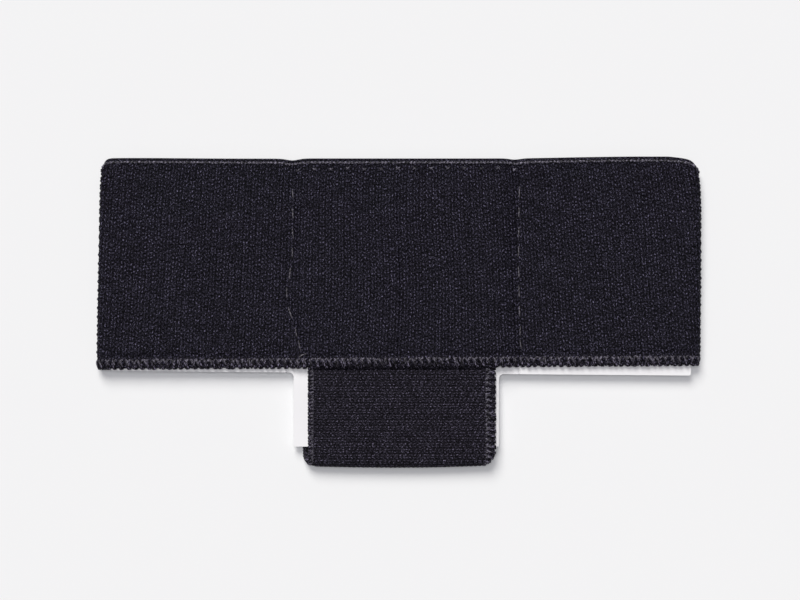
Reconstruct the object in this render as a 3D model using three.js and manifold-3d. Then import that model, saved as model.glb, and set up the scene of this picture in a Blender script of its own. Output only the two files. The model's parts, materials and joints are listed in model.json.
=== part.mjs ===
// Slip-on wrist splint, lying flat with its front face up.
//
// A tube of black knit elastic lies flattened, so that it has a front layer, a back layer and a fold at
// each end. Two sewn fold lines divide it into a middle panel and two wings that fold up round the wrist.
// A U-shaped knit loop hangs from the middle of the lower edge, front to back, for the heel of the palm.
// A white T-shaped stiffener slides in from the open top: its bar fills the tube, its stem the loop.
//
// Millimetres. X runs along the tube's width, Y from the loop to the open top, Z up from the back layer.
// The origin is under the middle of the whole outline, on the plane that the splint lies on.
import * as THREE from "three";
import { mergeVertices } from "three/addons/utils/BufferGeometryUtils.js";
import Module from "manifold-3d";

const wasm = await Module();
wasm.setup();

// ---- Driving dimensions ----

const SLEEVE_WIDTH = 184.4; // flattened tube at its lower edge
const END_LEAN = { left: 1.4, right: 0.7 }; // how far each end leans in from the lower edge to the top
const TOTAL_LENGTH = 94.8; // top of the sleeve to the bottom of the loop
const LOOP_DROP = 30.4; // loop below the sleeve's lower edge
const KNIT = 1.4; // thickness of the knit elastic
const LINING = 0.8; // thickness of the thin inner lining and of the loop's seam allowance
const BOARD = 1.2; // thickness of the stiffener
const GAP = 0.3; // clearance between pieces that lie on each other

const LEFT_FOLD_X = -34; // the two sewn fold lines
const RIGHT_FOLD_X = 37;
const OVERLOCK_WIDTH = 4.9; // thread-wrapped lower edge of the sleeve
const OVERLOCK_PROUD = 0.4; // how far its threads stand above the knit
const MIDDLE_INSET = 2.2; // the raised middle layers keep clear of the wings as they swing
const LINING_INSET = 0.2; // from the hinge lines
const LINING_DROP = 2; // the lining ends below the top hem
const TOP_HEM_WIDTH = 2.4;
const TOP_CORNER = { left: 2.7, right: 5 }; // corner radii of the outline at the open top

const LOOP_LEFT = -27.7;
const LOOP_RIGHT = 29.6;
const LOOP_OVERLOCK = { left: 2, right: 3.5 }; // widths of the loop's two thread-wrapped edges
const LOOP_OVERLOCK_PROUD = 0.2;

const STEM_LEFT = -32;
const STEM_RIGHT = 30.7;
const STEM_BOTTOM = -41;
const BOARD_LEFT = -88.8;
const BOARD_RIGHT = 89.4;
const BOARD_TOP = 44.4;
const BOARD_LOWER_EDGE = { left: -17.9, right: -19.3 }; // the bar's lower edge runs slightly downhill
const BOARD_CORNER = 2;
const STEM_FILLET = 1.5;

const STITCH_WIDTH = 0.6;
const TOP_STITCH_DROP = 3.3; // stitch row below the open top
const TOP_STITCH_INSET = 1; // from the ends of the raised front layer
const FOLD_STITCH_INSET = 1.2; // from the hinge line, towards the middle
const CURVE_STEPS = 10;
const WELD_DISTANCE = 1e-4; // corners closer than this become one

// ---- Worked-out levels and lines ----

const top = TOTAL_LENGTH / 2;
const loopBottom = -TOTAL_LENGTH / 2;
const lowerEdge = loopBottom + LOOP_DROP;
const overlockTop = lowerEdge + OVERLOCK_WIDTH;
const hemBottom = top - TOP_HEM_WIDTH;
const boardZ = KNIT + GAP;
const wingFrontZ = boardZ + BOARD + GAP;
const wingThickness = wingFrontZ + KNIT;
const liningZ = wingFrontZ;
const middleFrontZ = liningZ + LINING + GAP;
const halfWidth = SLEEVE_WIDTH / 2;
const liningTop = hemBottom - LINING_DROP;

// ---- Materials ----

const knit = new THREE.MeshStandardMaterial({ color: 0x222027, roughness: 0.92, metalness: 0 });
const lining = new THREE.MeshStandardMaterial({ color: 0x1c1b20, roughness: 0.95, metalness: 0 });
const thread = new THREE.MeshStandardMaterial({ color: 0x2b2931, roughness: 0.6, metalness: 0 });
const board = new THREE.MeshStandardMaterial({ color: 0xf0eff2, roughness: 0.55, metalness: 0 });

// ---- Shaping helpers ----

const splint = new THREE.Group();

function addPiece(name, geometry, material) {
  const mesh = new THREE.Mesh(geometry, material);
  mesh.name = name;
  splint.add(mesh);
}

function toSolid(geometry) {
  const bare = geometry.clone();
  bare.deleteAttribute("normal");
  bare.deleteAttribute("uv");
  const merged = mergeVertices(bare, WELD_DISTANCE);
  return new wasm.Manifold(
    new wasm.Mesh({
      numProp: 3,
      vertProperties: merged.attributes.position.array,
      triVerts: new Uint32Array(merged.index.array),
    }),
  );
}

function toGeometry(solid) {
  const mesh = solid.getMesh();
  const geometry = new THREE.BufferGeometry();
  geometry.setAttribute("position", new THREE.BufferAttribute(mesh.vertProperties, 3));
  geometry.setIndex(new THREE.BufferAttribute(mesh.triVerts, 1));
  return geometry;
}

function extrude(shape, depth) {
  return new THREE.ExtrudeGeometry(shape, { depth, bevelEnabled: false, curveSegments: CURVE_STEPS });
}

// A flat layer: an outline in X and Y, from height z upwards.
function layer(shape, z, thickness) {
  return extrude(shape, thickness).translate(0, 0, z);
}

function rectangle(x0, y0, x1, y1) {
  return new THREE.Shape([
    new THREE.Vector2(x0, y0),
    new THREE.Vector2(x1, y0),
    new THREE.Vector2(x1, y1),
    new THREE.Vector2(x0, y1),
  ]);
}

// ---- Knit tube: the two wings, each a front layer, an end fold and a back layer in one piece ----

const leftWing = { side: -1, name: "left_wing", foldX: LEFT_FOLD_X, end: "left" };
const rightWing = { side: 1, name: "right_wing", foldX: RIGHT_FOLD_X, end: "right" };

// The section of a wing across its width: a flat U, closed at the tube's end and open at the fold line.
function wingSection(side, foldX, proud) {
  const radius = wingThickness / 2;
  const innerX = foldX + (side * GAP) / 2;
  const bendX = side * (halfWidth - radius);
  const section = new THREE.Shape();
  section.moveTo(innerX, 0);
  section.lineTo(bendX, 0);
  section.absarc(bendX, radius, radius, -Math.PI / 2, Math.PI / 2, side < 0);
  section.lineTo(bendX - side * KNIT, wingThickness + proud);
  section.lineTo(innerX, wingThickness + proud);
  section.lineTo(innerX, wingFrontZ);
  section.lineTo(bendX, wingFrontZ);
  section.absarc(bendX, radius, radius - KNIT, Math.PI / 2, -Math.PI / 2, side > 0);
  section.lineTo(innerX, KNIT);
  return section;
}

// The wing's outline seen from above, with the rounded corner beside the open top.
function wingOutline(side, corner) {
  const outline = new THREE.Shape();
  outline.moveTo(0, loopBottom);
  outline.lineTo(side * halfWidth, loopBottom);
  outline.lineTo(side * halfWidth, top - corner);
  const [from, to] = side > 0 ? [0, Math.PI / 2] : [Math.PI, Math.PI / 2];
  outline.absarc(side * (halfWidth - corner), top - corner, corner, from, to, side < 0);
  outline.lineTo(0, top);
  return outline;
}

// Leans the wing's outer end in towards the top, and leaves its fold line straight.
function leanEnd(geometry, foldX, lean) {
  const points = geometry.getAttribute("position");
  const span = halfWidth - Math.abs(foldX);
  for (let i = 0; i < points.count; i++) {
    const rise = (points.getY(i) - lowerEdge) / (top - lowerEdge);
    const x = points.getX(i);
    points.setX(i, foldX + (x - foldX) * (1 - (lean * rise) / span));
  }
  return geometry;
}

function wingBand({ side, foldX, end }, y0, y1, proud) {
  const band = extrude(wingSection(side, foldX, proud), y1 - y0)
    .rotateX(Math.PI / 2)
    .translate(0, y1, 0);
  const plan = layer(wingOutline(side, TOP_CORNER[end]), -GAP, wingThickness + proud + 2 * GAP);
  const trimmed = toGeometry(toSolid(band).intersect(toSolid(plan)));
  return leanEnd(trimmed, foldX, END_LEAN[end]);
}

for (const wing of [leftWing, rightWing]) {
  addPiece(`${wing.name}_knit`, wingBand(wing, overlockTop + GAP, hemBottom - GAP, 0), knit);
  addPiece(`${wing.name}_bottom_overlock`, wingBand(wing, lowerEdge, overlockTop, OVERLOCK_PROUD), thread);
  addPiece(`${wing.name}_top_hem`, wingBand(wing, hemBottom, top, 0), knit);
}

// ---- Middle panel: back layer, lining and raised front layer, each with its own edges ----

const middleLeft = LEFT_FOLD_X + GAP / 2;
const middleRight = RIGHT_FOLD_X - GAP / 2;

function middleBand(y0, y1, z, thickness, inset) {
  return layer(rectangle(middleLeft + inset, y0, middleRight - inset, y1), z, thickness);
}

addPiece("back_knit_panel", middleBand(overlockTop + GAP, hemBottom - GAP, 0, KNIT, 0), knit);
addPiece("back_bottom_overlock", middleBand(lowerEdge, overlockTop, 0, KNIT, 0), thread);
addPiece("back_top_hem", middleBand(hemBottom, top, 0, KNIT, 0), knit);

const liningPiece = middleBand(overlockTop + GAP, liningTop, liningZ, LINING, LINING_INSET);
addPiece("pocket_lining", liningPiece, lining);

const frontKnit = middleBand(overlockTop + GAP, hemBottom - GAP, middleFrontZ, KNIT, MIDDLE_INSET);
const frontOverlock = middleBand(lowerEdge, overlockTop, middleFrontZ, KNIT + OVERLOCK_PROUD, MIDDLE_INSET);
addPiece("front_knit_panel", frontKnit, knit);
addPiece("front_bottom_overlock", frontOverlock, thread);
addPiece("front_top_hem", middleBand(hemBottom, top, middleFrontZ, KNIT, MIDDLE_INSET), knit);

// ---- Stitch lines: two fold lines beside the raised front layer, and the row that closes its top ----

const foldStitches = [
  ["left_fold_stitch", LEFT_FOLD_X + FOLD_STITCH_INSET],
  ["right_fold_stitch", RIGHT_FOLD_X - FOLD_STITCH_INSET],
];
for (const [name, x] of foldStitches) {
  const outline = rectangle(x - STITCH_WIDTH / 2, overlockTop + GAP, x + STITCH_WIDTH / 2, liningTop);
  addPiece(name, layer(outline, middleFrontZ, STITCH_WIDTH / 2), thread);
}

const rowY = top - TOP_STITCH_DROP;
const rowInset = MIDDLE_INSET + TOP_STITCH_INSET;
const rowOutline = rectangle(
  middleLeft + rowInset,
  rowY - STITCH_WIDTH / 2,
  middleRight - rowInset,
  rowY + STITCH_WIDTH / 2,
);
addPiece("top_stitch_row", layer(rowOutline, middleFrontZ + KNIT + GAP / 3, GAP), thread);

// ---- Palm loop: a strap that hangs from the front layer, turns under the stem and rises to the back ----

// The strap's path seen from the side. The tongue is the seam allowance under the front overlock.
function loopSection(proud, hasTongue) {
  const radius = wingThickness / 2;
  const bendY = loopBottom + radius;
  const legTop = lowerEdge - GAP;
  const section = new THREE.Shape();
  section.moveTo(legTop, 0);
  section.lineTo(bendY, 0);
  section.absarc(bendY, radius, radius, -Math.PI / 2, Math.PI / 2, true);
  section.lineTo(bendY + KNIT, wingThickness + proud);
  section.lineTo(legTop, wingThickness + proud);
  if (hasTongue) {
    section.lineTo(legTop, liningZ + LINING);
    section.lineTo(overlockTop, liningZ + LINING);
    section.lineTo(overlockTop, wingFrontZ);
  } else {
    section.lineTo(legTop, wingFrontZ);
  }
  section.lineTo(bendY, wingFrontZ);
  section.absarc(bendY, radius, radius - KNIT, Math.PI / 2, -Math.PI / 2, false);
  section.lineTo(legTop, KNIT);
  return section;
}

const sideways = new THREE.Matrix4().makeBasis(
  new THREE.Vector3(0, 1, 0),
  new THREE.Vector3(0, 0, 1),
  new THREE.Vector3(1, 0, 0),
);

function loopStrip(x0, x1, proud, hasTongue) {
  return extrude(loopSection(proud, hasTongue), x1 - x0)
    .applyMatrix4(sideways)
    .translate(x0, 0, 0);
}

const loopKnitLeft = LOOP_LEFT + LOOP_OVERLOCK.left + GAP;
const loopKnitRight = LOOP_RIGHT - LOOP_OVERLOCK.right - GAP;
addPiece("palm_loop", loopStrip(loopKnitLeft, loopKnitRight, 0, true), knit);
const loopLeftOverlock = loopStrip(LOOP_LEFT, loopKnitLeft - GAP, LOOP_OVERLOCK_PROUD, false);
const loopRightOverlock = loopStrip(loopKnitRight + GAP, LOOP_RIGHT, LOOP_OVERLOCK_PROUD, false);
addPiece("loop_left_overlock", loopLeftOverlock, thread);
addPiece("loop_right_overlock", loopRightOverlock, thread);

// ---- T-shaped stiffener: one board, scored on the two fold lines into three panels ----

function boardLowerEdge(x) {
  const share = (x - BOARD_LEFT) / (BOARD_RIGHT - BOARD_LEFT);
  return BOARD_LOWER_EDGE.left + share * (BOARD_LOWER_EDGE.right - BOARD_LOWER_EDGE.left);
}

function boardWing(innerX, outerX, side) {
  const outerY = boardLowerEdge(outerX);
  const outline = new THREE.Shape();
  outline.moveTo(innerX, BOARD_TOP);
  outline.lineTo(innerX, boardLowerEdge(innerX));
  outline.lineTo(outerX - side * BOARD_CORNER, outerY);
  const [from, to] = side > 0 ? [-Math.PI / 2, 0] : [(3 * Math.PI) / 2, Math.PI];
  outline.absarc(outerX - side * BOARD_CORNER, outerY + BOARD_CORNER, BOARD_CORNER, from, to, side < 0);
  outline.lineTo(outerX, BOARD_TOP);
  return layer(outline, boardZ, BOARD);
}

function boardMiddle() {
  const outline = new THREE.Shape();
  const leftY = boardLowerEdge(STEM_LEFT) - STEM_FILLET;
  const rightY = boardLowerEdge(STEM_RIGHT) - STEM_FILLET;
  outline.moveTo(middleLeft, BOARD_TOP);
  outline.lineTo(middleLeft, boardLowerEdge(middleLeft));
  outline.absarc(STEM_LEFT - STEM_FILLET, leftY, STEM_FILLET, Math.PI / 2, 0, true);
  outline.lineTo(STEM_LEFT, STEM_BOTTOM);
  outline.lineTo(STEM_RIGHT, STEM_BOTTOM);
  outline.absarc(STEM_RIGHT + STEM_FILLET, rightY, STEM_FILLET, Math.PI, Math.PI / 2, true);
  outline.lineTo(middleRight, boardLowerEdge(middleRight));
  outline.lineTo(middleRight, BOARD_TOP);
  return layer(outline, boardZ, BOARD);
}

addPiece("stiffener_middle", boardMiddle(), board);
addPiece("stiffener_left", boardWing(LEFT_FOLD_X - GAP / 2, BOARD_LEFT, -1), board);
addPiece("stiffener_right", boardWing(RIGHT_FOLD_X + GAP / 2, BOARD_RIGHT, 1), board);

export default splint;
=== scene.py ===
# Slip-on wrist splint lying flat: a black knit elastic sleeve with a palm loop, sewn with black thread, and
# a white T-shaped stiffener inside it. Lengths are in metres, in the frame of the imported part.
import json
import math

import bpy
import numpy as np
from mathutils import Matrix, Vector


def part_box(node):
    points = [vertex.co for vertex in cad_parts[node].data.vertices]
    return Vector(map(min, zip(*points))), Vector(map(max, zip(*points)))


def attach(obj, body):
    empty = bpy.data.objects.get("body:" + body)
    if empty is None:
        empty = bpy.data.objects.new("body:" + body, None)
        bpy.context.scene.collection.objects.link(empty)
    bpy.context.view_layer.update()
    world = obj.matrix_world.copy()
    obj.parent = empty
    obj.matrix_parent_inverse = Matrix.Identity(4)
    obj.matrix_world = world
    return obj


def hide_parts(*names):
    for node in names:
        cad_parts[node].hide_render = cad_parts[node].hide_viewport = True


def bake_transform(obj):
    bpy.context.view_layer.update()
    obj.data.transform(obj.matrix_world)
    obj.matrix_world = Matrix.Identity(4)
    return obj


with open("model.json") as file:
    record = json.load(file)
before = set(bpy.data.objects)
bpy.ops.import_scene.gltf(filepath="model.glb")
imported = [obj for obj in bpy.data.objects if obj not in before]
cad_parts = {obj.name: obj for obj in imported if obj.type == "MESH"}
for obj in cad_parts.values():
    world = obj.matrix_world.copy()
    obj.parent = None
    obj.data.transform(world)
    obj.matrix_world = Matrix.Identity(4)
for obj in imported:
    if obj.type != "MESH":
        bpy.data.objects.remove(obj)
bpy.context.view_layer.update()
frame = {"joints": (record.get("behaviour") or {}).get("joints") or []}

MM = 0.001
LEFT = -1
RIGHT = 1

# ---- Sleeve: knit tube ----
# One tube of black knit elastic lies flattened, with a front layer, a fold at each end and a back layer.
# Its wales run upright and its loops are staggered from wale to wale. It is drawn as two halves that meet
# along a wale in the middle of the front and the back.

WALE = 1.95 * MM  # width of one upright column of loops
COURSE = 1.354 * MM  # height of one row of loops
STEPS_PER_WALE = 5
STEPS_PER_COURSE = 4
BUMP = 0.32 * MM  # how far a loop stands out of the ground of the knit
SCALLOP = 0.13 * MM  # how far every second course swells on the end folds
KNIT_THICKNESS = 1.1 * MM  # without the bumps
BEND_REACH = 2.6 * MM  # the board is ruled finely over this much on each side of a fold line
side_name = {LEFT: "left", RIGHT: "right"}

lower_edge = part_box("back_bottom_overlock")[0].y
open_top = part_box("back_top_hem")[1].y
sleeve_height = open_top - lower_edge
end_reach = {
    LEFT: -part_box("left_wing_bottom_overlock")[0].x,
    RIGHT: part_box("right_wing_bottom_overlock")[1].x,
}
top_reach = {LEFT: end_reach[LEFT] - 1.15 * MM, RIGHT: end_reach[RIGHT] + 0.5 * MM}
lower_inset = 0.3 * MM  # the very bottom of each end is pulled in by its seam
corner_inset = {LEFT: 0.65 * MM, RIGHT: 1.3 * MM}  # how much narrower the tube is at the very top
corner_fade = {LEFT: 4 * MM, RIGHT: 7 * MM}  # how far down that reaches
fold_x = {
    LEFT: next(j["pos_m"][0] for j in frame["joints"] if j["name"] == "left_wing_fold"),
    RIGHT: next(j["pos_m"][0] for j in frame["joints"] if j["name"] == "right_wing_fold"),
}
back_face = BUMP / 2
wing_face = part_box("left_wing_knit")[1].z - BUMP / 2
middle_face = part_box("front_knit_panel")[1].z - BUMP / 2
fold_radius = (wing_face - back_face) / 2


def smooth(t):
    t = np.clip(t, 0, 1)
    return t * t * (3 - 2 * t)


def hump(x, centre, width):
    return np.exp(-(((x - centre) / width) ** 2))


def scatter(column, row):
    """A number from 0 to 1 for each loop, always the same one."""
    value = np.sin(column * 12.9898 + row * 78.233) * 43758.5453
    return value - np.floor(value)


def stitch_line(side, y):
    """Where the sewn fold line lies at height y: it wanders a little from the straight hinge line."""
    if side == LEFT:
        bow_y = 6 * MM
        bowed_out = 1.9 * MM * hump(y, bow_y, 7.5 * MM)
        curled_in = 0.0085 / MM * np.clip(bow_y - y, 0, None) ** 2
        return fold_x[LEFT] + 1.8 * MM - bowed_out + curled_in
    above = y - 13 * MM
    return fold_x[RIGHT] - 0.3 * MM - 0.01 * above + 0.0008 / MM * above**2


def bottom_shift(x):
    """The seam hangs a little at the left end and runs slightly uphill to the right."""
    uphill = 0.0066
    return -0.68 * MM + uphill * (x + 92 * MM)


def top_shift(x):
    """The open edge is pulled in at the fold lines and rises to the right."""
    pulled = 0.5 * MM * hump(x, -32.3 * MM, 2.6 * MM) + 0.35 * MM * hump(x, 35.4 * MM, 2.2 * MM)
    rising = 0.65 * MM * smooth((x - 25 * MM) / (50 * MM)) + 0.2 * MM * hump(x, -80 * MM, 20 * MM)
    return rising - pulled - 0.45 * MM


def corner_drop(x):
    """How far the open edge has sunk at the rounded corners. At the right it slopes down first."""
    from_left = np.maximum(top_reach[LEFT] + x, 0.5 * MM)
    from_right = np.maximum(top_reach[RIGHT] - x - 0.75 * MM, 0.3 * MM)
    slope = 0.1 * np.maximum(9.5 * MM - from_right, 0)
    left_corner = 5.5 * MM * np.exp(-from_left / (0.78 * MM))
    return left_corner + 4.1 * MM * np.exp(-from_right / (1.35 * MM)) + slope


def settled(x, y):
    """The height that a point comes to rest at, when the edges lie as bottom_shift and top_shift say."""
    rise = (y - lower_edge) / sleeve_height
    at_top = np.clip(rise, 0, 1) ** 8
    return y + (1 - rise) * bottom_shift(x) + rise * top_shift(x) - at_top * corner_drop(x)


def half_width(side, y):
    """How far the end fold is from the middle: it leans in and rounds off towards the open top."""
    rise = np.clip((y - lower_edge) / sleeve_height, 0, 1)
    rounding = corner_inset[side] * np.exp((y - open_top) / corner_fade[side])
    pulled_in = lower_inset * (1 - smooth(rise / 0.09))
    return end_reach[side] + (top_reach[side] - end_reach[side]) * rise - rounding - pulled_in


def crease(side, x, y):
    """The loop's end pulls a short crease into the front, from each end of its seam to the fold line."""
    start = {LEFT: -26.5 * MM, RIGHT: 27.5 * MM}[side]
    slope = {LEFT: -0.33, RIGHT: 0.5}[side]
    out = side * (x - start)
    height = lower_edge + 4.6 * MM + slope * out
    return hump(y, height, 0.55 * MM) * smooth(out / (1.5 * MM)) * smooth((9 * MM - out) / (3 * MM))


def front_lift(side, x, y):
    """How far the front layer stands above the wing's level: up on the lining, down at the stitches."""
    inward = side * (fold_x[side] - x)
    raised = (middle_face - wing_face) * smooth((inward - 0.4 * MM) / (6 * MM))
    pulled = -0.5 * MM * hump(x, stitch_line(side, y), 1.2 * MM)
    slack = np.sin(x / (17 * MM) + 1.3) * np.sin(y / (11 * MM) + 0.4) * 0.12 * MM
    gathered = -0.3 * MM * hump(y, lower_edge + 4.1 * MM, 0.9 * MM)
    return raised + pulled + slack + gathered + 0.3 * MM * crease(side, x, y)


def tube_length(side, y):
    flat = half_width(side, y) - fold_radius
    return flat, np.pi * fold_radius, 2 * flat + np.pi * fold_radius


def on_tube(side, along, y):
    """Point and outward normal on the tube; along is the way from the middle of the front to the back."""
    flat, arc, _ = tube_length(side, y)
    turn = np.clip((along - flat) / fold_radius, 0, np.pi)
    past = np.clip(along - flat - arc, 0, None)
    x = np.where(along < flat, along, flat + fold_radius * np.sin(turn) - past)
    z = back_face + fold_radius * (1 + np.cos(turn))
    x = side * x
    x = x + 0.45 * MM * np.sin(y / (8 * MM) + 0.6) * hump(x, 0, 22 * MM)  # the middle wale sways
    z = z + np.where(along < flat, front_lift(side, x, y), 0)
    normal = np.stack([side * np.sin(turn), np.zeros_like(turn), np.cos(turn)], axis=-1)
    return np.stack([x, settled(x, y), z], axis=-1), normal


def loop_bumps(wale, course):
    """Height of the knit, 0 to about 1: an oval bump for each loop, which leans to and fro by wales."""
    column = np.floor(wale)
    staggered = course + 0.5 * (column % 2)
    row = np.floor(staggered)
    across = wale - column - 0.5
    up = staggered - row - 0.5
    lean = np.where(column % 2 == 0, 0.3, -0.3)
    ridge = np.clip(np.cos(np.pi * across), 0, 1) ** 0.6
    bump = 0.15 + 0.85 * np.cos(np.pi * np.clip(up + lean * across, -0.5, 0.5)) ** 2
    return ridge * bump * (0.86 + 0.2 * scatter(np.abs(column), row))


def new_piece(name, points, faces, corner_uv, material):
    """A mesh piece from points, faces as lists of indices, and one UV for each corner of each face."""
    mesh = bpy.data.meshes.new(name)
    mesh.from_pydata(points.tolist(), [], faces)
    layer = mesh.uv_layers.new(name="thread_map")
    layer.data.foreach_set("uv", np.asarray(corner_uv, np.float32).ravel())
    mesh.shade_smooth()
    mesh.validate()
    piece = bpy.data.objects.new(name, mesh)
    bpy.context.scene.collection.objects.link(piece)
    mesh.materials.append(material)
    return piece


def grid_quads(rows, columns, start, flip):
    index = start + np.arange(rows * columns).reshape(rows, columns)
    quads = np.stack([index[:-1, :-1], index[:-1, 1:], index[1:, 1:], index[1:, :-1]], axis=-1)
    quads = quads.reshape(-1, 4)
    return quads[:, ::-1] if flip else quads


def cloth_piece(name, face, face_uv, inner_rows, thickness, flip, material):
    """A closed sheet. face is its outer side, thickness goes inwards, and its inner side is plainer."""
    rows, columns, _ = face.shape
    lining = (face - thickness)[inner_rows]
    points = np.concatenate([face.reshape(-1, 3), lining.reshape(-1, 3)])
    uv = np.concatenate([face_uv.reshape(-1, 2), face_uv[inner_rows].reshape(-1, 2)])
    front = np.arange(rows * columns).reshape(rows, columns)
    back = rows * columns + np.arange(len(inner_rows) * columns).reshape(-1, columns)
    first = np.stack([back[0, :-1], back[0, 1:], front[0, 1:], front[0, :-1]], axis=-1)
    last = np.stack([front[-1, :-1], front[-1, 1:], back[-1, 1:], back[-1, :-1]], axis=-1)
    rims = np.concatenate([first, last])
    quads = np.concatenate(
        [
            grid_quads(rows, columns, 0, flip),
            grid_quads(len(inner_rows), columns, rows * columns, not flip),
            rims[:, ::-1] if flip else rims,
        ]
    )
    start_cut = np.concatenate([front[:, 0], back[::-1, 0]])
    end_cut = np.concatenate([back[:, -1], front[::-1, -1]])
    cuts = [start_cut[::-1], end_cut[::-1]] if flip else [start_cut, end_cut]
    corners = np.concatenate([quads.ravel(), *cuts])
    faces = quads.tolist() + [cut.tolist() for cut in cuts]
    piece = new_piece(name, points, faces, uv[corners], material)
    for cut in piece.data.polygons[-2:]:
        cut.use_smooth = False
    return piece


def bend_at_fold(piece):
    """The piece crosses the sewn fold line between its wing and the middle panel; its placement is baked
    into its mesh.
    """
    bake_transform(piece)


def new_group(name, inputs, outputs):
    """A shader node group with named sockets; returns it with its inner input and output nodes."""
    group = bpy.data.node_groups.new(name, "ShaderNodeTree")
    for label, kind, value in inputs:
        socket = group.interface.new_socket(label, in_out="INPUT", socket_type=kind)
        if value is not None:
            socket.default_value = value
    for label, kind in outputs:
        group.interface.new_socket(label, in_out="OUTPUT", socket_type=kind)
    return group, group.nodes.new("NodeGroupInput"), group.nodes.new("NodeGroupOutput")


def add_node(tree, kind, settings=None, **inputs):
    """Adds a node, sets its properties, and fills its inputs with values or links them to sockets."""
    node = tree.nodes.new(kind)
    for key, value in (settings or {}).items():
        setattr(node, key, value)
    for key, value in inputs.items():
        socket = node.inputs[int(key[1:])] if key[1:].isdigit() else node.inputs[key.replace("_", " ")]
        if isinstance(value, bpy.types.NodeSocket):
            tree.links.new(value, socket)
        else:
            socket.default_value = value
    return node


def math_node(tree, operation, a, b=0.0, c=0.0):
    return add_node(tree, "ShaderNodeMath", {"operation": operation}, _0=a, _1=b, _2=c).outputs[0]


def fibre_group():
    """Filaments of a fluffy yarn, and the painted glints on them. Vector is in millimetres: X across the
    filaments and Y along them.
    """
    group, given, made = new_group(
        "yarn_fibres",
        [("Vector", "NodeSocketVector", None)],
        [("Strand", "NodeSocketFloat"), ("Glint", "NodeSocketFloat")],
    )
    # The first pattern is the filament strands, the second a pattern of painted glints.
    for output, stretch, scale, detail in (("Strand", 0.22, 7.0, 1.0), ("Glint", 0.65, 3.2, 1.5)):
        drawn_out = add_node(
            group,
            "ShaderNodeVectorMath",
            {"operation": "MULTIPLY"},
            _0=given.outputs["Vector"],
            _1=(1, stretch, 1),
        )
        pattern = add_node(
            group,
            "ShaderNodeTexNoise",
            {"noise_dimensions": "2D"},
            Vector=drawn_out.outputs[0],
            Scale=scale,
            Detail=detail,
        )
        group.links.new(pattern.outputs["Fac"], made.inputs[output])
    return group


def yarn_colour_and_painted_light_group():
    """Black dyed yarn, darkened by painted shade in the hollows between yarns and lightened by painted
    glints and highlights on the filaments.
    """
    group, given, made = new_group(
        "black_yarn_with_painted_light",
        [
            ("Tint", "NodeSocketColor", (0.9, 0.88, 1, 1)),
            ("Middle", "NodeSocketFloat", -4.4),
            ("Contrast", "NodeSocketFloat", 6.0),
            ("Strand", "NodeSocketFloat", 0.5),
            ("Glint", "NodeSocketFloat", 0.5),
            ("Yarn", "NodeSocketFloat", 0.5),
            ("Loop", "NodeSocketFloat", 0.5),
        ],
        [("Color", "NodeSocketColor"), ("Roughness", "NodeSocketFloat")],
    )
    brightness = given.outputs["Middle"]
    # Painted light: the glint pattern adds painted glints, the strands painted highlights along the
    # filaments, and the yarn's height painted shade in the hollows between its legs. The loop adds a random
    # tone for each loop.
    for name, share in (("Glint", 1.0), ("Strand", 0.45), ("Yarn", 0.15), ("Loop", 0.06)):
        centred = math_node(group, "SUBTRACT", given.outputs[name], 0.5)
        weight = math_node(group, "MULTIPLY", given.outputs["Contrast"], share)
        brightness = math_node(group, "ADD", brightness, math_node(group, "MULTIPLY", centred, weight))
    level = math_node(group, "MINIMUM", math_node(group, "EXPONENT", brightness), 0.2)
    colour = add_node(
        group, "ShaderNodeVectorMath", {"operation": "SCALE"}, _0=given.outputs["Tint"], Scale=level
    )
    strand = given.outputs["Strand"]
    rough = add_node(group, "ShaderNodeMapRange", None, Value=strand, To_Min=0.45, To_Max=0.75)
    group.links.new(colour.outputs[0], made.inputs["Color"])
    group.links.new(rough.outputs[0], made.inputs["Roughness"])
    return group


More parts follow.
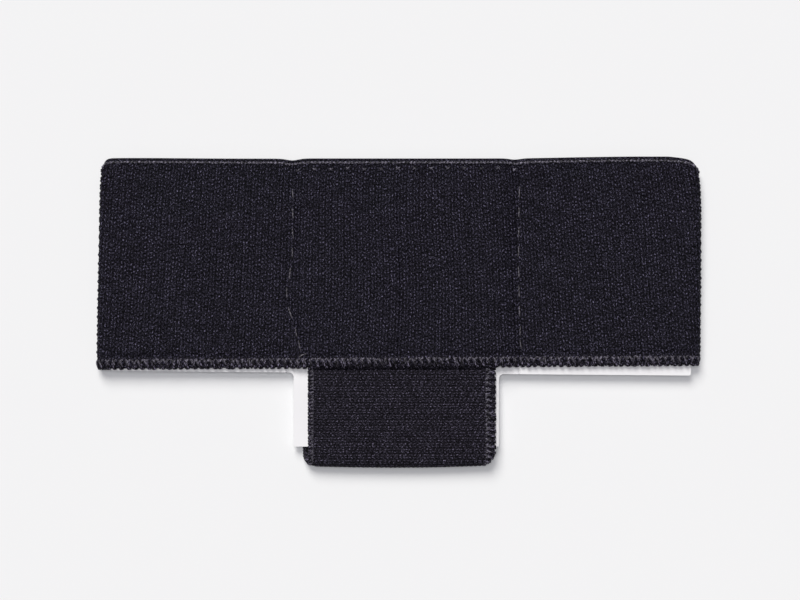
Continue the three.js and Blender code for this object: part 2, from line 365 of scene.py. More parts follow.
def knitted_loop_group():
    """One knitted loop is a V of two yarn legs. Vector counts wales in X and courses in Y."""
    group, given, made = new_group(
        "knitted_loop",
        [("Vector", "NodeSocketVector", None)],
        [("Yarn", "NodeSocketFloat"), ("Fibres", "NodeSocketVector"), ("Loop", "NodeSocketFloat")],
    )
    parts = add_node(group, "ShaderNodeSeparateXYZ", None, Vector=given.outputs["Vector"])
    wale, course = parts.outputs[0], parts.outputs[1]
    column = math_node(group, "FLOOR", wale)
    half_drop = math_node(group, "MULTIPLY", math_node(group, "FLOORED_MODULO", column, 2.0), 0.5)
    staggered = math_node(group, "ADD", course, half_drop)
    row = math_node(group, "FLOOR", staggered)
    across = math_node(group, "SUBTRACT", math_node(group, "SUBTRACT", wale, column), 0.5)
    up = math_node(group, "SUBTRACT", staggered, row)
    leg = math_node(group, "ADD", math_node(group, "MULTIPLY", up, 0.2), 0.13)
    off_leg = math_node(group, "SUBTRACT", math_node(group, "ABSOLUTE", across), leg)
    share = math_node(group, "DIVIDE", off_leg, 0.17)
    inside = math_node(group, "SUBTRACT", 1.0, math_node(group, "MULTIPLY", share, share))
    rounded = math_node(group, "SQRT", math_node(group, "MAXIMUM", inside))
    from_middle = math_node(group, "ABSOLUTE", math_node(group, "MULTIPLY_ADD", up, 2.0, -1.0))
    end = math_node(group, "POWER", from_middle, 4.0)
    cell = add_node(group, "ShaderNodeCombineXYZ", None, X=column, Y=row)
    tone = add_node(group, "ShaderNodeTexWhiteNoise", {"noise_dimensions": "2D"}, Vector=cell.outputs[0])
    apart = math_node(group, "MULTIPLY", math_node(group, "SIGN", across), 3.0)
    apart = math_node(group, "ADD", apart, math_node(group, "MULTIPLY", column, 7.0))
    fibre_x = math_node(group, "ADD", math_node(group, "MULTIPLY", off_leg, WALE / MM), apart)
    fibre_y = math_node(group, "MULTIPLY", staggered, COURSE / MM)
    fibre = add_node(group, "ShaderNodeCombineXYZ", None, X=fibre_x, Y=fibre_y)
    above = math_node(group, "SUBTRACT", 1.0, math_node(group, "MULTIPLY", end, 0.7))
    dived = math_node(group, "MULTIPLY", rounded, above)
    group.links.new(dived, made.inputs["Yarn"])
    group.links.new(fibre.outputs[0], made.inputs["Fibres"])
    group.links.new(tone.outputs["Value"], made.inputs["Loop"])
    return group


fibres = fibre_group()
yarn_colour_and_painted_light = yarn_colour_and_painted_light_group()
knitted_loop = knitted_loop_group()


def yarn_material(name, knitted, tint, middle, contrast, relief, specular):
    """Black yarn, knitted or not, with painted glints and painted shade in its colour: middle is the log of
    its brightness, and contrast spreads that.
    """
    material = bpy.data.materials.new(name)
    material.use_nodes = True
    tree = material.node_tree
    shader = tree.nodes["Principled BSDF"]
    mapped = add_node(tree, "ShaderNodeUVMap", {"uv_map": "thread_map"})
    colours = {"Tint": (*tint, 1), "Middle": middle, "Contrast": contrast}
    dye_and_light = add_node(tree, "ShaderNodeGroup", {"node_tree": yarn_colour_and_painted_light}, **colours)
    way = mapped.outputs[0]
    if knitted:
        loop = add_node(tree, "ShaderNodeGroup", {"node_tree": knitted_loop}, Vector=way)
        way = loop.outputs["Fibres"]
        # The yarn's height also darkens the colour in the hollows between loops: painted shade.
        tree.links.new(loop.outputs["Yarn"], dye_and_light.inputs["Yarn"])
        tree.links.new(loop.outputs["Loop"], dye_and_light.inputs["Loop"])
    fibre = add_node(tree, "ShaderNodeGroup", {"node_tree": fibres}, Vector=way)
    # Both filament patterns lighten the colour as painted highlights and glints; the strands also set
    # roughness and bump.
    tree.links.new(fibre.outputs["Strand"], dye_and_light.inputs["Strand"])
    tree.links.new(fibre.outputs["Glint"], dye_and_light.inputs["Glint"])
    height = math_node(tree, "MULTIPLY", fibre.outputs["Strand"], 0.4)
    if knitted:
        height = math_node(tree, "ADD", height, loop.outputs["Yarn"])
    bump = add_node(tree, "ShaderNodeBump", None, Strength=0.8, Distance=relief, Height=height)
    tree.links.new(dye_and_light.outputs["Color"], shader.inputs["Base Color"])
    tree.links.new(dye_and_light.outputs["Roughness"], shader.inputs["Roughness"])
    tree.links.new(bump.outputs["Normal"], shader.inputs["Normal"])
    shader.inputs["Specular IOR Level"].default_value = specular
    return material


knit_material = yarn_material(
    "black_knit_elastic",
    knitted=True,
    tint=(1.03, 0.95, 1.5),
    middle=-4.92,
    contrast=8.8,
    relief=0.2 * MM,
    specular=0.05,
)

front_wales = round((end_reach[RIGHT] - fold_radius) / WALE)
end_wales = round(np.pi * fold_radius / WALE)
half_wales = 2 * front_wales + end_wales
fan = {LEFT: 0.05, RIGHT: 0.095}  # how far the wales lean outwards towards the seam
knit_bottom = lower_edge + 2 * MM
knit_top = open_top - 1.2 * MM
knit_rows = round((knit_top - knit_bottom) / COURSE * STEPS_PER_COURSE) + 1


def way_along(side, wale, y):
    """The way along the tube at which a wale runs, when its height is y."""
    flat, arc, total = tube_length(side, y)
    on_front = wale / front_wales * flat
    on_end = flat + (wale - front_wales) / end_wales * arc
    on_back = flat + arc + (wale - front_wales - end_wales) / front_wales * flat
    past_front = np.where(wale < front_wales + end_wales, on_end, on_back)
    along = np.where(wale < front_wales, on_front, past_front)
    middle = lower_edge + 0.55 * sleeve_height
    return along + fan[side] * (middle - y) * np.sin(np.pi * along / total)


def knit_half(side):
    wale, y = np.meshgrid(
        np.arange(half_wales * STEPS_PER_WALE + 1) / STEPS_PER_WALE,
        np.linspace(knit_bottom, knit_top, knit_rows),
    )
    course = (y - lower_edge) / COURSE
    point, normal = on_tube(side, way_along(side, wale, y), y)
    counted = 0.5 + wale * side
    on_end = np.clip(1 - np.abs(wale - front_wales - end_wales / 2) / end_wales, 0, 1)
    relief = BUMP * loop_bumps(counted, course) + SCALLOP * on_end * np.cos(np.pi * course)
    face = point + normal * relief[..., None]
    uv = np.stack([counted, course], axis=-1)
    corner_start = knit_rows - 32  # the inner side needs more rows where the corners are rounded
    inner_rows = [np.arange(0, corner_start, 30), np.arange(corner_start, knit_rows, 3), [knit_rows - 1]]
    inner_rows = np.unique(np.concatenate(inner_rows))
    thickness = normal * KNIT_THICKNESS + (face - point)
    name = f"{side_name[side]}_sleeve_knit"
    return cloth_piece(name, face, uv, inner_rows, thickness, side == LEFT, knit_material)


sleeve_knit = {side: knit_half(side) for side in (LEFT, RIGHT)}
for side, piece in sleeve_knit.items():
    bend_at_fold(piece)
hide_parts("left_wing_knit", "front_knit_panel", "back_knit_panel")
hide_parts("right_wing_knit")

# ---- Sleeve: top hem ----
# The knit turns over at the open top into a narrow roll, and a fine chain of thread holds it down all
# round.

CHAIN_PITCH = 1.12 * MM
CHAIN_DEPTH = 1.37 * MM  # below the very edge
CHAIN_RADIUS = 0.28 * MM
THREAD_SIDES = 8
LOWEST = -0.2 * MM  # threads that lie on the floor are pressed flat at this height


def tube_corners(lines, steps, sides):
    """Quads round each of several tubes of rings, with their corners' UVs: X round the tube, Y along it."""
    counts = (np.arange(lines), np.arange(steps - 1), np.arange(sides))
    line, step, turn = np.meshgrid(*counts, indexing="ij")
    corner = []
    uv = []
    for ahead, round_by in ((0, 0), (1, 0), (1, 1), (0, 1)):
        corner.append((line * steps + step + ahead) * sides + (turn + round_by) % sides)
        uv.append(np.stack([(turn + round_by) / sides, step + ahead], axis=-1))
    return np.stack(corner, axis=-1).reshape(-1, 4), np.stack(uv, axis=-2).reshape(-1, 4, 2)


def ringed_piece(name, rings, material, around, along):
    """Closed tubes from rings of points (tube, step, point round the ring). around and along say how much
    of the yarn's pattern goes round a tube and along one of its steps."""
    lines, steps, sides, _ = rings.shape
    rings[..., 2] = np.maximum(rings[..., 2], LOWEST)
    quads, uv = tube_corners(lines, steps, sides)
    apart = np.repeat(np.arange(lines), (steps - 1) * sides)[:, None, None] * np.array([5.3, 2.9])
    uv = uv * np.array([around, along]) + apart  # no two threads catch the light alike
    first = np.arange(lines)[:, None] * steps * sides + np.arange(sides)
    last = first + (steps - 1) * sides
    caps = np.concatenate([first, last[:, ::-1]])
    corner_uv = np.concatenate([uv.reshape(-1, 2), np.full((caps.size, 2), 0.5)])
    faces = quads.tolist() + caps.tolist()
    return new_piece(name, rings.reshape(-1, 3), faces, corner_uv, material)


def unit(vectors):
    return vectors / np.maximum(np.linalg.norm(vectors, axis=-1, keepdims=True), 1e-12)


def thread_rings(lines, outward, radius, turns, spread=1.0):
    """Rings round threads that follow lines (thread, step, xyz). turns is how far two plies twist in one
    step, and spread is how much wider than high the thread lies."""
    radius = np.broadcast_to(np.asarray(radius, float), lines.shape[:2])
    tangent = unit(np.gradient(lines, axis=1))
    aside = unit(np.cross(tangent, outward))
    upward = np.cross(aside, tangent)
    angle = 2 * np.pi * np.arange(THREAD_SIDES) / THREAD_SIDES
    step = np.arange(lines.shape[1])[:, None]
    plies = 1 + 0.2 * np.cos(2 * (angle - 2 * np.pi * turns * step))
    reach = radius[..., None] * plies
    return (
        lines[:, :, None]
        + (reach * np.cos(angle))[..., None] * upward[:, :, None]
        + (reach * spread * np.sin(angle))[..., None] * aside[:, :, None]
    )


# Black thread whose colour is set much lighter than the knit's, with strong contrast: painted sheen and
# glints on the thread.
thread_material = yarn_material(
    "black_sewing_thread",
    knitted=False,
    tint=(1.0, 0.92, 1.22),
    middle=-3.4,
    contrast=12.0,
    relief=0.1 * MM,
    specular=0.3,
)


def hem_half(side):
    wale = np.arange(half_wales * STEPS_PER_WALE + 1) / STEPS_PER_WALE
    counted = 0.5 + wale * side
    near_top = open_top - 0.02 * MM
    profile = np.array(
        [
            (2.6, -0.2),
            (1.9, 0.12),
            (1.3, 0.1),
            (0.8, 0.05),
            (0.4, 0.0),
            (0.1, -0.2),
            (0.0, -0.5),
            (0.08, -0.75),
            (0.4, -1.05),
            (1.2, -1.1),
            (2.6, -1.05),
        ]
    ) * MM
    rings = np.empty((1, len(wale), len(profile), 3))
    for k, (depth, out) in enumerate(profile):
        y = np.full_like(wale, near_top - depth)
        point, normal = on_tube(side, way_along(side, wale, y), y)
        ridge = 0.12 * MM * np.cos(2 * np.pi * (counted - 0.5)) * (out > -0.2 * MM)
        rings[0, :, k] = point + normal * (out + ridge)[:, None]
    if side == RIGHT:
        rings = rings[:, :, ::-1]
    name = f"{side_name[side]}_top_hem"
    return ringed_piece(name, rings, knit_material, around=3.0, along=1 / STEPS_PER_WALE)


def chain_half(side):
    """The chain: a thread that swells at each stitch."""
    steps_per_stitch = 7
    y = open_top - CHAIN_DEPTH
    total = tube_length(side, y)[2]
    stitches = round(total / CHAIN_PITCH)
    phase = np.arange(stitches * steps_per_stitch + 1) / steps_per_stitch
    along = phase / stitches * total
    point, normal = on_tube(side, along, np.full_like(along, y))
    swell = np.abs(np.sin(np.pi * phase)) ** 0.6
    lift = 0.1 * MM + 0.1 * MM * swell + 0.03 * MM * scatter(np.floor(phase), side)
    line = (point + normal * lift[:, None])[None]
    radius = CHAIN_RADIUS * (0.45 + 0.75 * swell)
    rings = thread_rings(line, normal[None], radius[None], turns=0.11, spread=1.25)
    name = f"{side_name[side]}_top_chain_stitch"
    return ringed_piece(name, rings, thread_material, around=1.6, along=0.12)


top_hem = {side: hem_half(side) for side in (LEFT, RIGHT)}
top_chain = {side: chain_half(side) for side in (LEFT, RIGHT)}
for side in (LEFT, RIGHT):
    bend_at_fold(top_hem[side])
    bend_at_fold(top_chain[side])
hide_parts("left_wing_top_hem", "front_top_hem", "back_top_hem")
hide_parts("right_wing_top_hem")

# ---- Sleeve: fold stitches and bar stitches ----
# A running stitch goes through all the layers on each fold line, and shows as dashes on the front and on
# the back. A row of small crossed tacks under the hem closes the top of the pocket between the fold lines.

DASH_PITCH = 6.1 * MM
DASH_LENGTH = 3.1 * MM
DASH_RADIUS = 0.17 * MM
TACK_PITCH = 5.08 * MM
TACK_DEPTH = 3.25 * MM  # below the open top
# Black thread set lighter still, with stronger contrast: painted sheen and glints on the fold-line thread.
fold_thread_material = yarn_material(
    "black_fold_thread",
    knitted=False,
    tint=(1.0, 0.93, 1.12),
    middle=-3.1,
    contrast=16.0,
    relief=0.05 * MM,
    specular=0.4,
)


def fold_stitches(side):
    first = lower_edge + 5.2 * MM
    count = int((open_top - 4.5 * MM - first) / DASH_PITCH) + 1
    share = np.linspace(-0.5, 0.5, 9)
    lines = []
    outward = []
    for face, offset in ((1, 0.0), (-1, DASH_PITCH / 2)):
        for k in range(count):
            sway = (scatter(np.array(k), side * face) - 0.5) * 0.5 * MM
            length = DASH_LENGTH * (0.9 + 0.35 * scatter(np.array(k), side * 3.0))
            moved_up = 1.9 * MM if k == 0 else 0  # clear of the seam
            y = first + offset + k * DASH_PITCH + moved_up + share * length
            x = stitch_line(side, y) + sway * share * 2
            sunk = 0.4 * MM * (np.abs(share) * 2) ** 6
            if face > 0:
                z = wing_face + front_lift(side, x, y) + 0.34 * MM - sunk
            else:
                z = np.full_like(y, back_face - 0.2 * MM) + sunk
            lines.append(np.stack([x, settled(x, y), z], axis=-1))
            outward.append(np.broadcast_to((0, 0, face), (len(share), 3)))
    rings = thread_rings(np.array(lines), np.array(outward, float), DASH_RADIUS, turns=0.2)
    name = f"{side_name[side]}_fold_dashes"
    return ringed_piece(name, rings, fold_thread_material, around=1.3, along=0.25)


def tacks():
    count = int((fold_x[RIGHT] - fold_x[LEFT] - 3 * MM) / TACK_PITCH) + 1
    share = np.linspace(-1, 1, 7)
    lines = []
    for k in range(count):
        x0 = fold_x[LEFT] + 3.4 * MM + k * TACK_PITCH
        side = LEFT if x0 < 0 else RIGHT
        for way in (-1, 1):
            x = x0 + 0.5 * MM * share
            uneven = (scatter(np.array(k), 5.0) - 0.5) * 0.5 * MM
            y = open_top - TACK_DEPTH + way * 0.34 * MM * share + uneven
            above_knit = (0.36 + 0.08 * way) * MM - 0.3 * MM * np.abs(share) ** 5
            z = wing_face + front_lift(side, x, y) + above_knit
            lines.append(np.stack([x, settled(x, y), z], axis=-1))
    outward = np.broadcast_to((0.0, 0.0, 1.0), (len(lines), len(share), 3))
    rings = thread_rings(np.array(lines), outward, 0.22 * MM, turns=0.2)
    return ringed_piece("top_tack_row", rings, thread_material, around=1.4, along=0.12)


fold_stitch = {side: fold_stitches(side) for side in (LEFT, RIGHT)}
for side, piece in fold_stitch.items():
    bend_at_fold(piece)
    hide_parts(f"{side_name[side]}_fold_stitch")
tack_row = tacks()
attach(tack_row, "sleeve_middle")
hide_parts("top_stitch_row")


def thread_tail():
    """The cut end of the fold line's thread, which lies askew just above the seam."""
    share = np.linspace(0, 1, 12)
    x = -30.2 * MM + 2.2 * MM * share
    y = -13.6 * MM + 1.0 * MM * share + 0.15 * MM * np.sin(np.pi * share)
    z = wing_face + front_lift(LEFT, x, y) + 0.45 * MM * np.sin(np.pi * share) ** 0.5
    line = np.stack([x, y, z], axis=-1)[None]
    outward = np.broadcast_to((0.0, 0.0, 1.0), line.shape)
    rings = thread_rings(line, outward, 0.24 * MM, turns=0.2)
    return ringed_piece("left_thread_tail", rings, fold_thread_material, around=1.3, along=0.2)


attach(thread_tail(), "sleeve_middle")

# ---- Sleeve: overlocked lower edge ----
# The raw lower edge of each layer is wrapped with thick, fluffy looper thread. Each stitch throws a V over
# the face and one over the inside, and they knot together on the edge. A needle thread holds their points.

looper_material = yarn_material(
    "black_looper_yarn",
    knitted=False,
    tint=(1.0, 0.9, 1.3),
    middle=-4.65,
    contrast=14.0,
    relief=0.1 * MM,
    specular=0.1,
)

SEAM_PITCH = 2.0 * MM
SEAM_WIDTH = 3.35 * MM
LOOPER_RADIUS = 0.36 * MM
STEPS_PER_THROW = 17  # of a thread, from the needle line and back
FACE_BULGE = 0.62 * MM
INSIDE_BULGE = 0.25 * MM
BACK_SEAM_LIFT = 0.3 * MM  # the seam is thicker than the knit, and lies on the floor


def wrapped(frames, s, turn, width, half_width, face_bulge, inside_bulge):
    """Points on the oval that a seam's threads lie on. turn is 0 at the needle line, pi / 2 on the face and
    pi on the edge. frames(s, across) puts out a point in the middle of the layer, across the seam from its
    edge, and the normal there."""
    middle, normal = frames(s, -width / 2 - half_width * np.cos(turn))
    rise = np.sin(turn)
    up = np.where(rise > 0, face_bulge * np.abs(rise) ** 0.75, -inside_bulge * np.abs(rise) ** 0.75)
    return middle + normal * up[..., None]


def overlock(name, frames, length, pitch, width, radius, bulge, slant):
    """An overlock seam: its padded bed, fat looper threads that wrap it at a slant, thin ones that cross
    between them, and the needle thread."""
    stitches = round(length / pitch)
    pitch = length / stitches
    face, inside = bulge

    def laid(s, turn, out):
        s = np.clip(s, 0, length)
        turn = np.broadcast_to(turn, s.shape)
        points = wrapped(frames, s, turn, width, width / 2 - radius + out, face + out, inside + out)
        return points, unit(points - wrapped(frames, s, turn, width, 0, -inside, inside))

    bed_turns = -np.linspace(0, 2 * np.pi, 14, endpoint=False)
    s_bed, turn = np.meshgrid(np.linspace(0, length, stitches * 4 + 1), bed_turns, indexing="ij")
    bed = wrapped(frames, s_bed, turn, width, width / 2 - 1.5 * radius, face - 0.3 * radius, inside)[None]
    start = (np.arange(stitches)[:, None] + 0.5) * pitch
    uneven = [scatter(np.arange(stitches), seed)[:, None] - 0.5 for seed in (3.0, 7.0, 11.0, 13.0)]
    throw = np.linspace(0, 1, STEPS_PER_THROW)
    ring = 0.12 + (2 * np.pi - 0.24) * throw
    lean = slant * pitch * (0.55 + 0.35 * uneven[0]) * np.sin(ring / 2) ** 2
    fat = radius * (0.95 + 0.3 * uneven[1]) * (0.75 + 0.25 * np.sin(np.pi * throw))
    points, outward = laid(start + lean + 0.25 * pitch * uneven[2], ring, 0.0)
    wraps = [thread_rings(points, outward, fat, turns=0.21, spread=1.8)]
    points, outward = laid(start - 0.6 * lean + pitch * (0.5 + 0.2 * uneven[3]), ring, -0.35 * radius)
    wraps.append(thread_rings(points, outward, 0.7 * fat, turns=0.3, spread=1.4))
    short = np.linspace(0, 1, STEPS_PER_THROW)
    rise = radius * (0.7 * np.sin(np.pi * short**0.7) + 0.3)
    pieces = []
    for way, reach, first in ((slant, 1.6, -0.3), (-slant, 1.1, 0.2)):
        over = 0.15 + (reach + 0.6 * uneven[3]) * short
        crossing = start + way * pitch * (first + 0.4 * uneven[2] + (0.6 + 0.4 * uneven[1]) * short)
        points, outward = laid(crossing, over, rise)
        thin = radius * (0.8 + 0.5 * uneven[0]) * (0.5 + 0.5 * np.sin(np.pi * short))
        pieces.append(thread_rings(points, outward, thin, turns=0.3, spread=1.2))
    needle = start + pitch * 0.92 * (short - 0.5)
    dip = radius * (0.5 - 0.9 * np.abs(2 * short - 1) ** 4) * np.ones_like(needle)
    points, outward = laid(needle, 0.3 + 0.1 * uneven[2], dip)
    pieces.append(thread_rings(points, outward, radius * 0.45, turns=0.3))
    threads = np.concatenate(pieces)
    wraps = np.concatenate(wraps)
    return (
        ringed_piece(f"{name}_threads", threads, thread_material, around=1.8, along=0.12),
        ringed_piece(f"{name}_wraps", wraps, looper_material, around=2.4, along=0.3),
        ringed_piece(f"{name}_bed", bed, knit_material, around=4.0, along=0.4),
    )


def seam_frames(side):
    def frames(s, across):
        surface, normal = on_tube(side, s, np.full_like(s, lower_edge))
        surface[..., 1] -= across
        surface[..., 2] += BACK_SEAM_LIFT * (normal[..., 2] < -0.99)
        return surface - normal * KNIT_THICKNESS / 2, normal

    return frames


bottom_seam = {}
for side in (LEFT, RIGHT):
    bottom_seam[side] = overlock(
        f"{side_name[side]}_bottom_overlock",
        seam_frames(side),
        float(tube_length(side, lower_edge)[2]),
        pitch=SEAM_PITCH,
        width=SEAM_WIDTH,
        radius=LOOPER_RADIUS,
        bulge=(FACE_BULGE, INSIDE_BULGE),
        slant=side,
    )
    for piece in bottom_seam[side]:
        bend_at_fold(piece)
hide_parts("left_wing_bottom_overlock", "front_bottom_overlock", "back_bottom_overlock")
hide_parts("right_wing_bottom_overlock")

# ---- Palm loop ----
# A strap of the same knit, turned so that its wales run across. It starts under the front seam, turns under
# the end of the stem and rises to the back seam. Its left edge has a fine overlock, its right a heavy one.

LOOP_WALE = 1.7 * MM
LOOP_COURSE = 1.39 * MM
LOOP_BUMP = BUMP * 0.6
LOOP_THICKNESS = KNIT_THICKNESS * 0.85
BACK_LEG_SHIFT = -1.45 * MM  # the back leg lies a little to the left of the front one
LEFT_SEAM_WIDTH = 1.9 * MM
RIGHT_SEAM_WIDTH = 3.4 * MM

loop_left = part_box("loop_left_overlock")[0].x
loop_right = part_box("loop_right_overlock")[1].x + 0.3 * MM
loop_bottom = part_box("palm_loop")[0].y
loop_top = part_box("palm_loop")[1].y
loop_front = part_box("palm_loop")[1].z - BUMP / 2
loop_radius = (loop_front - back_face) / 2
tuck_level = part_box("pocket_lining")[1].z - 0.15 * MM  # of the front leg, where it goes under the seam
loop_middle = (loop_left + loop_right) / 2
loop_half = (loop_right - loop_left) / 2


def on_loop(way, x):
    """Point and outward normal on the strap, at a way along it from its front end and across it at x."""
    aside = np.abs(x - loop_middle) / loop_half
    on_right = x > loop_middle
    corner = np.where(on_right, 4.4 * MM, 3.8 * MM)
    into = 0.97 * np.clip((np.abs(x - loop_middle) - (loop_half - corner)) / corner, 0, 1)
    bow = np.where(on_right, 0.75 * MM, 0.45 * MM) * aside**2 + corner * (1 - np.sqrt(1 - into**2))
    flat = loop_top - (loop_bottom + bow) - loop_radius
    turn = np.clip((way - flat) / loop_radius, 0, np.pi)
    past = np.clip(way - flat - np.pi * loop_radius, 0, None)
    y = np.where(way < flat, loop_top - way, loop_top - flat - loop_radius * np.sin(turn) + past)
    z = back_face + loop_radius * (1 + np.cos(turn))
    tucked = smooth((y - lower_edge + 1.6 * MM) / (2.2 * MM))
    level = np.where(turn < np.pi / 2, tuck_level, back_face + 0.75 * MM)
    z = z + (level - z) * tucked * ((turn <= 0) | (turn >= np.pi))
    shift = BACK_LEG_SHIFT * smooth(turn / np.pi * 1.4 - 0.1)
    normal = np.stack([np.zeros_like(turn), -np.sin(turn), np.cos(turn)], axis=-1)
    return np.stack([x + shift, y, z], axis=-1), normal


loop_way = 2 * (loop_top - loop_bottom - loop_radius) + np.pi * loop_radius - 2.5 * MM
loop_wales = round(loop_way / LOOP_WALE)
loop_knit_edges = (loop_left + LEFT_SEAM_WIDTH * 0.45, loop_right - RIGHT_SEAM_WIDTH * 0.5)
loop_courses = round((loop_knit_edges[1] - loop_knit_edges[0]) / LOOP_COURSE)


def loop_knit():
    x, wale = np.meshgrid(
        np.linspace(*loop_knit_edges, loop_courses * STEPS_PER_COURSE + 1),
        np.arange(loop_wales * STEPS_PER_WALE + 1) / STEPS_PER_WALE,
    )
    course = (x - loop_left) / LOOP_COURSE
    point, normal = on_loop(wale / loop_wales * loop_way, x)
    face = point + normal * (LOOP_BUMP * loop_bumps(wale, course))[..., None]
    thickness = normal * LOOP_THICKNESS + (face - point)
    inner_rows = np.unique(np.concatenate([np.arange(0, len(wale), 6), [len(wale) - 1]]))
    uv = np.stack([wale, course], axis=-1)
    return cloth_piece("palm_loop_knit", face, uv, inner_rows, thickness, True, loop_material)


loop_material = yarn_material(
    "black_loop_elastic",
    knitted=True,
    tint=(1.03, 0.93, 1.38),
    middle=-4.73,
    contrast=8.6,
    relief=0.2 * MM,
    specular=0.05,
)
palm_loop = loop_knit()
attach(palm_loop, "sleeve_middle")
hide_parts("palm_loop")


def loop_frames(x, outward):
    def frames(s, across):
        surface, normal = on_loop(s + 3.2 * MM, x + outward * across)
        return surface - normal * KNIT_THICKNESS * 0.42, normal

    return frames


loop_seam_length = loop_way - 5 * MM
loop_seams = {
    LEFT: overlock(
        "loop_left_overlock",
        loop_frames(loop_left, LEFT),
        loop_seam_length,
        pitch=1.04 * MM,
        width=LEFT_SEAM_WIDTH,
        radius=0.27 * MM,
        bulge=(0.6 * MM, 0.35 * MM),
        slant=1,
    ),
    RIGHT: overlock(
        "loop_right_overlock",
        loop_frames(loop_right, RIGHT),
        loop_seam_length,
        pitch=1.71 * MM,
        width=RIGHT_SEAM_WIDTH,
        radius=0.33 * MM,
        bulge=(0.6 * MM, 0.3 * MM),
        slant=1,
    ),
}
for side, seam in loop_seams.items():
    for piece in seam:
        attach(piece, "sleeve_middle")
    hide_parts(f"loop_{side_name[side]}_overlock")

# ---- Pocket lining ----
# A thin black knit behind the front of the middle panel makes a pocket for the stiffener. It is sewn in
# with the fold stitches, the tacks and the lower seam.

lining_low, lining_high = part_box("pocket_lining")


def lining_sheet():
    rows, columns = 90, 120
    x, y = np.meshgrid(
        np.linspace(lining_low.x + 0.3 * MM, lining_high.x - 0.3 * MM, columns),
        np.linspace(lining_low.y, lining_high.y, rows),
    )
    wave = 0.08 * MM * np.sin(x / (6 * MM)) * np.sin(y / (7 * MM))
    z = lining_high.z - 0.12 * MM + wave
    face = np.stack([x, y, z], axis=-1)
    thickness = np.zeros_like(face)
    thickness[..., 2] = 0.55 * MM
    uv = np.stack([x / (0.9 * MM), y / (0.7 * MM)], axis=-1)
    inner_rows = np.array([0, rows // 2, rows - 1])
    name = "pocket_lining_knit"
    return cloth_piece(name, face, uv, inner_rows, thickness, False, lining_material)


lining_material = yarn_material(
    "black_lining_knit",
    knitted=True,
    tint=(1, 0.98, 1.05),
    middle=-4.9,
    contrast=4.0,
    relief=0.15 * MM,
    specular=0.1,
)
pocket_lining = lining_sheet()
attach(pocket_lining, "sleeve_middle")
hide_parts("pocket_lining")

# ---- Stiffener ----
# One white board, cut to a T with a rounded end on its bar and scored on the two fold lines so that it
# bends with the wings. It is drawn as two halves that meet in the middle, each with its own score.

EDGE_ROUND = 0.16 * MM
SCORE_DEPTH = 0.22 * MM
SCORE_HALF_WIDTH = 0.4 * MM

board_box = {side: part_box(f"stiffener_{side_name[side]}") for side in (LEFT, RIGHT)}
stem_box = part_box("stiffener_middle")
board_bottom_z, board_top_z = stem_box[0].z, stem_box[1].z
bar_top = stem_box[1].y
stem_bottom = stem_box[0].y
board_end = {LEFT: board_box[LEFT][0].x, RIGHT: board_box[RIGHT][1].x}
bar_bottom = {LEFT: lower_edge - 0.9 * MM, RIGHT: board_box[RIGHT][0].y}
stem_edge = {LEFT: -32 * MM, RIGHT: 30.7 * MM}
STEM_FILLET = 1.5 * MM
BAR_CORNER = {LEFT: 2 * MM, RIGHT: 0.6 * MM}


def bar_edge(x):
    share = (x - board_end[LEFT]) / (board_end[RIGHT] - board_end[LEFT])
    return bar_bottom[LEFT] + share * (bar_bottom[RIGHT] - bar_bottom[LEFT])


def board_columns(side):
    """Where the board is ruled across, from the middle outwards, with its lower edge at each line."""
    stem = side * stem_edge[side]
    fold = side * fold_x[side]
    end = side * board_end[side]
    corner = BAR_CORNER[side]
    fillet = stem + STEM_FILLET * (1 - np.cos(np.linspace(0, np.pi / 2, 8)))
    score = fold + SCORE_HALF_WIDTH * np.array([-1, -0.5, 0.5, 1])
    curved = fold + BEND_REACH * np.linspace(-1, 1, 13)
    rounded = end - corner * (1 - np.sin(np.linspace(0, np.pi / 2, 8)))
    plain = [0, stem / 2, stem - 0.02 * MM, (fold + end) / 2]
    x = np.sort(np.concatenate([plain, fillet, score, curved, rounded]))
    low = bar_edge(side * x)
    past_stem = np.clip((x - stem) / STEM_FILLET, 0, 1)
    low = low - STEM_FILLET * (1 - np.sqrt(1 - (1 - past_stem) ** 2)) * (x >= stem)
    into = np.clip((x - (end - corner)) / corner, 0, 1)
    low = low + corner * (1 - np.sqrt(1 - into**2))
    low = np.where(x < stem, stem_bottom, low)
    return side * x, low


def board_material():
    material = bpy.data.materials.new("white_board")
    material.use_nodes = True
    tree = material.node_tree
    shader = tree.nodes["Principled BSDF"]
    mapped = add_node(tree, "ShaderNodeUVMap", {"uv_map": "thread_map"})
    cloudy = add_node(tree, "ShaderNodeTexNoise", None, Vector=mapped.outputs[0], Scale=0.12, Detail=4.0)
    grain = add_node(tree, "ShaderNodeTexNoise", None, Vector=mapped.outputs[0], Scale=3.5, Detail=3.0)
    tint = add_node(
        tree,
        "ShaderNodeMix",
        {"data_type": "RGBA"},
        _0=cloudy.outputs["Fac"],
        _6=(0.79, 0.78, 0.81, 1),
        _7=(0.86, 0.855, 0.87, 1),
    )
    fine = grain.outputs["Fac"]
    rough = add_node(tree, "ShaderNodeMapRange", None, Value=fine, To_Min=0.6, To_Max=0.75)
    bump = add_node(tree, "ShaderNodeBump", None, Strength=0.25, Distance=0.03 * MM, Height=fine)
    tree.links.new(tint.outputs[2], shader.inputs["Base Color"])
    tree.links.new(rough.outputs[0], shader.inputs["Roughness"])
    tree.links.new(bump.outputs["Normal"], shader.inputs["Normal"])
    shader.inputs["Specular IOR Level"].default_value = 0.2
    return material


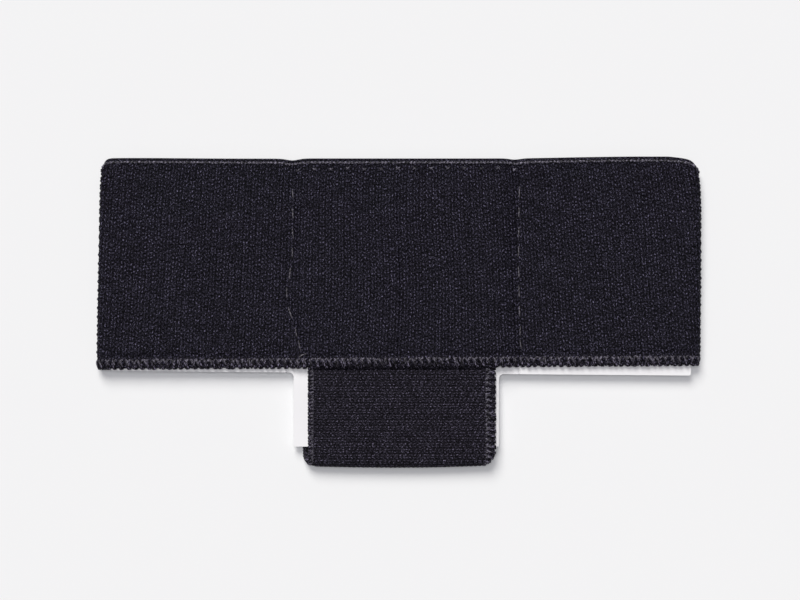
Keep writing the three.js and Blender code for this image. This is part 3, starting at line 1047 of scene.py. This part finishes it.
def board_half(side):
    rows = 24
    x, low = board_columns(side)
    share = np.linspace(0, 1, rows)[:, None]
    y = low + share * (bar_top - low)
    x = np.broadcast_to(x, y.shape)
    scored = np.clip(1 - np.abs(x - fold_x[side]) / SCORE_HALF_WIDTH, 0, 1)
    z = board_top_z - SCORE_DEPTH * scored
    face = np.stack([x, y, z], axis=-1)
    thickness = np.zeros_like(face)
    thickness[..., 2] = z - board_bottom_z
    uv = np.stack([x, y], axis=-1) / MM
    name = f"{side_name[side]}_stiffener"
    piece = cloth_piece(name, face, uv, np.arange(rows), thickness, side == LEFT, white_board)
    mesh = piece.data
    mesh.polygons.foreach_set("use_smooth", [False] * len(mesh.polygons))
    weights = mesh.attributes.new("bevel_weight_edge", "FLOAT", "EDGE")
    normals = {}
    for polygon in mesh.polygons:
        for key in polygon.edge_keys:
            normals.setdefault(key, []).append(polygon.normal)
    for edge in mesh.edges:
        a, b = (mesh.vertices[i].co for i in edge.vertices)
        on_cut = max(abs(a.x), abs(b.x)) < 0.01 * MM
        found = normals[edge.key]
        if len(found) == 2 and found[0].dot(found[1]) < 0.3 and not on_cut:
            weights.data[edge.index].value = 1.0
    rounding = piece.modifiers.new("rounded_edges", "BEVEL")
    rounding.limit_method = "WEIGHT"
    rounding.width = EDGE_ROUND
    rounding.segments = 2
    rounding.use_clamp_overlap = True
    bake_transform(piece)
    return piece


white_board = board_material()
stiffener = {side: board_half(side) for side in (LEFT, RIGHT)}
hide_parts("stiffener_left", "stiffener_middle")
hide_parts("stiffener_right")

# ---- Sheets of cloth ----
# The sleeve, the loop and the lining are cut from flat cloth, and the sleeve and the loop lie folded round
# the board.

# ---- Studio ----
# A plain pale floor, a broad soft light from above the open top, another from overhead, and an even pale
# surround. The camera looks straight down.

FLOOR_LEVEL = -0.25 * MM


def studio_floor():
    half = 4.0
    mesh = bpy.data.meshes.new("floor")
    corners = [(-half, -half), (half, -half), (half, half), (-half, half)]
    mesh.from_pydata([(x, y, FLOOR_LEVEL) for x, y in corners], [], [(0, 1, 2, 3)])
    material = bpy.data.materials.new("pale_paper")
    material.use_nodes = True
    shader = material.node_tree.nodes["Principled BSDF"]
    shader.inputs["Base Color"].default_value = (0.84, 0.845, 0.856, 1)
    shader.inputs["Roughness"].default_value = 1.0
    shader.inputs["Specular IOR Level"].default_value = 0.0
    mesh.materials.append(material)
    floor = bpy.data.objects.new("floor", mesh)
    bpy.context.scene.collection.objects.link(floor)


def soft_light(name, azimuth, elevation, spread, strength, colour):
    """Parallel light with a soft edge: azimuth 90 comes from +Y and 180 from -X."""
    data = bpy.data.lights.new(name, "SUN")
    data.energy = strength
    data.angle = math.radians(spread)
    data.color = colour
    lamp = bpy.data.objects.new(name, data)
    bpy.context.scene.collection.objects.link(lamp)
    lamp.rotation_euler = (0, math.radians(90 - elevation), math.radians(azimuth))


studio_floor()
soft_light("key", azimuth=107, elevation=46, spread=34, strength=2.66, colour=(1, 0.985, 0.95))
soft_light("overhead", azimuth=100, elevation=86, spread=24, strength=1.26, colour=(0.97, 0.97, 1))
world = bpy.data.worlds.new("surround")
world.use_nodes = True
world.node_tree.nodes["Background"].inputs["Color"].default_value = (0.95, 0.93, 1, 1)
world.node_tree.nodes["Background"].inputs["Strength"].default_value = 0.08
bpy.context.scene.world = world
bpy.context.scene.view_settings.view_transform = "Standard"

camera_data = bpy.data.cameras.new("camera")
camera_data.lens = 100
camera_data.sensor_width = 36
camera = bpy.data.objects.new("camera", camera_data)
bpy.context.scene.collection.objects.link(camera)
VIEW_WIDTH = 244 * MM
camera_height = fold_radius * 2 + VIEW_WIDTH * camera_data.lens / camera_data.sensor_width
camera.location = (0.5 * MM, 3.8 * MM, camera_height)
bpy.context.scene.camera = camera
